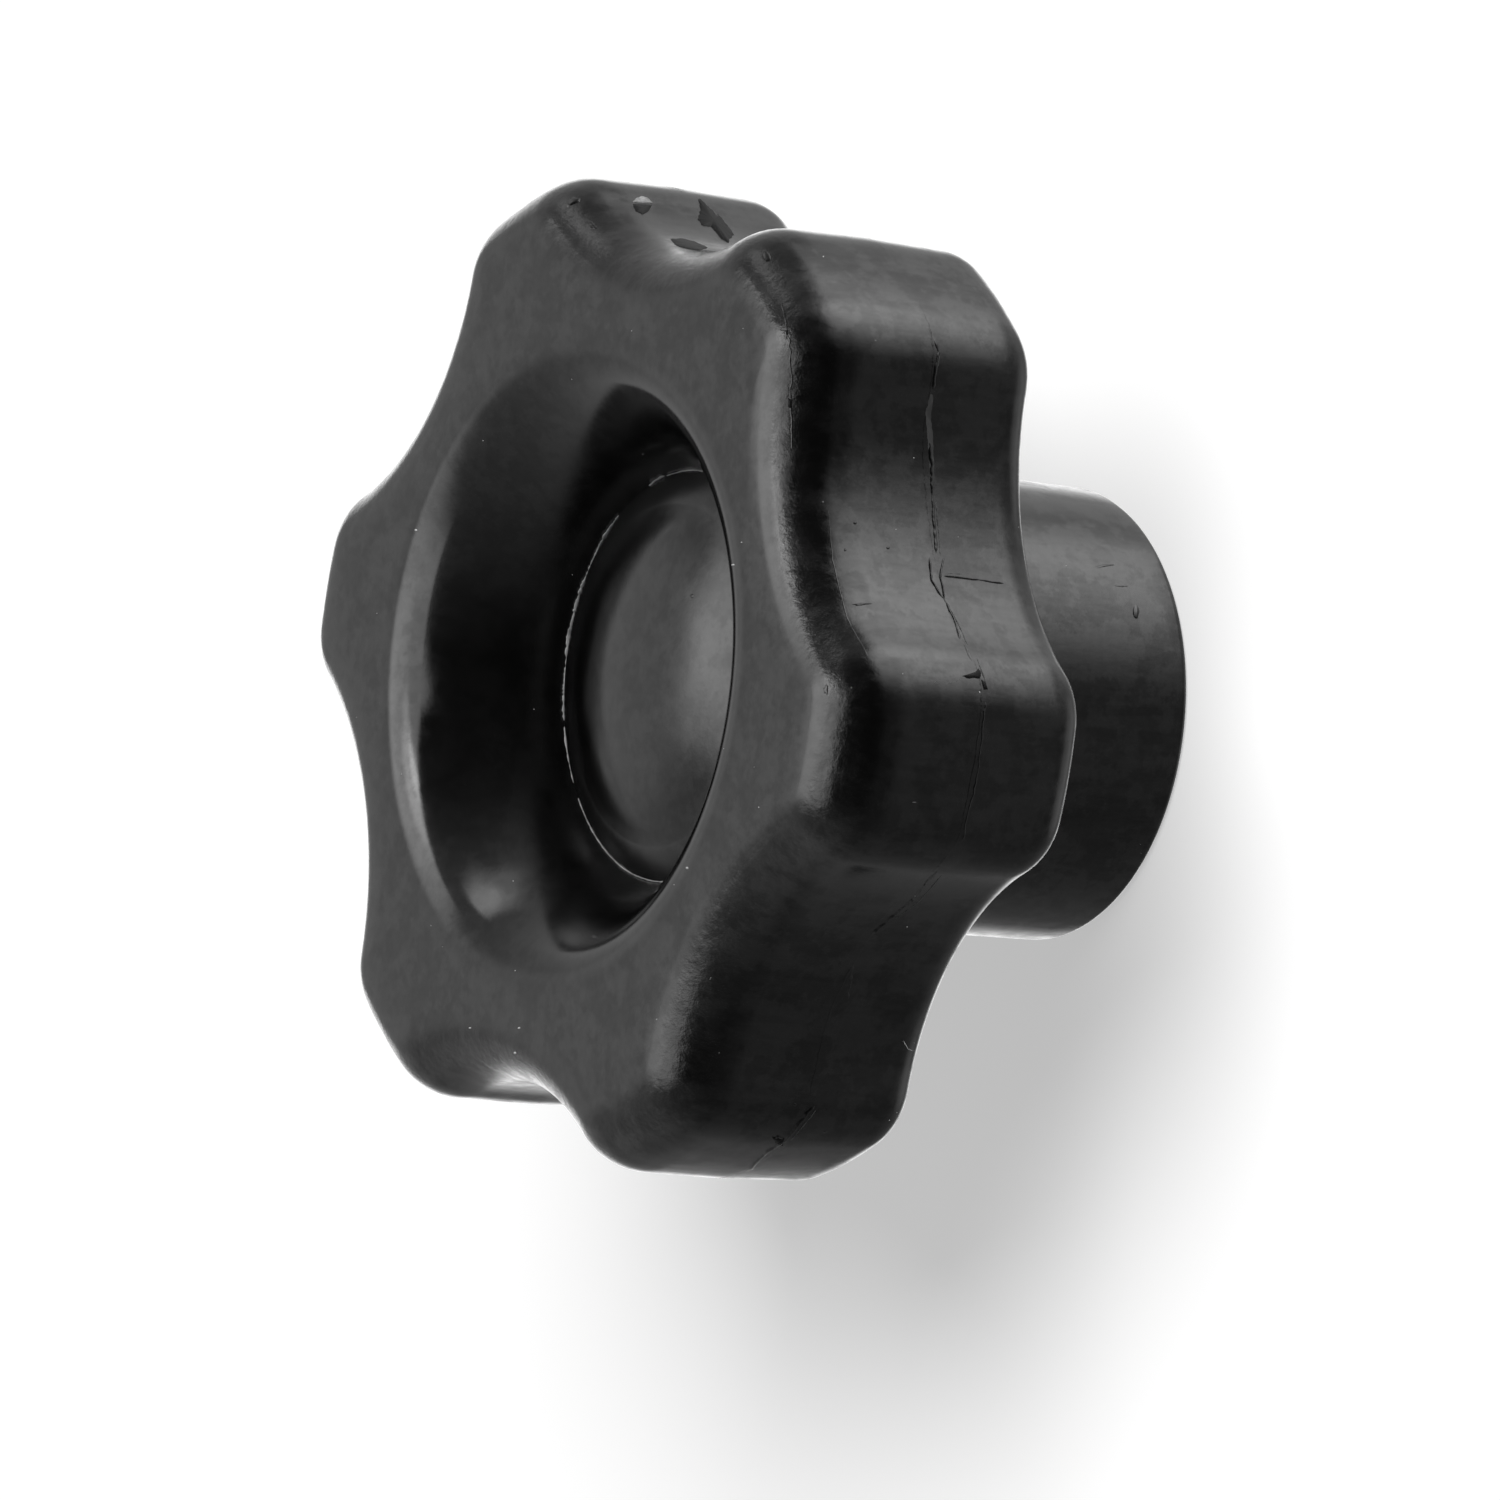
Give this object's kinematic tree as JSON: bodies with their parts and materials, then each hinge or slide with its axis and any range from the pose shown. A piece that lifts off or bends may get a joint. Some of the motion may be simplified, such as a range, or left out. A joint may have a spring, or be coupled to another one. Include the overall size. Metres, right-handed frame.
{
  "type": "clamping knob",
  "caption": "Black plastic star knob with a dished face, a round hub and a threaded metal bush in the hub's end, for clamping by hand.",
  "frame": {"origin": "centre of the hub's end face, which is the face that bears on the work", "axes": "+Z along the knob's axis, from the hub's end face to the dished face; +X through the middle of one lobe"},
  "size_m": [0.08, 0.0738, 0.0472],
  "materials": {
    "moulding": "satin black moulded plastic",
    "bush": "turned"
  },
  "bodies": {
    "root": {"knob_body": "moulding", "threaded_insert": "bush"}
  },
  "joints": []
}
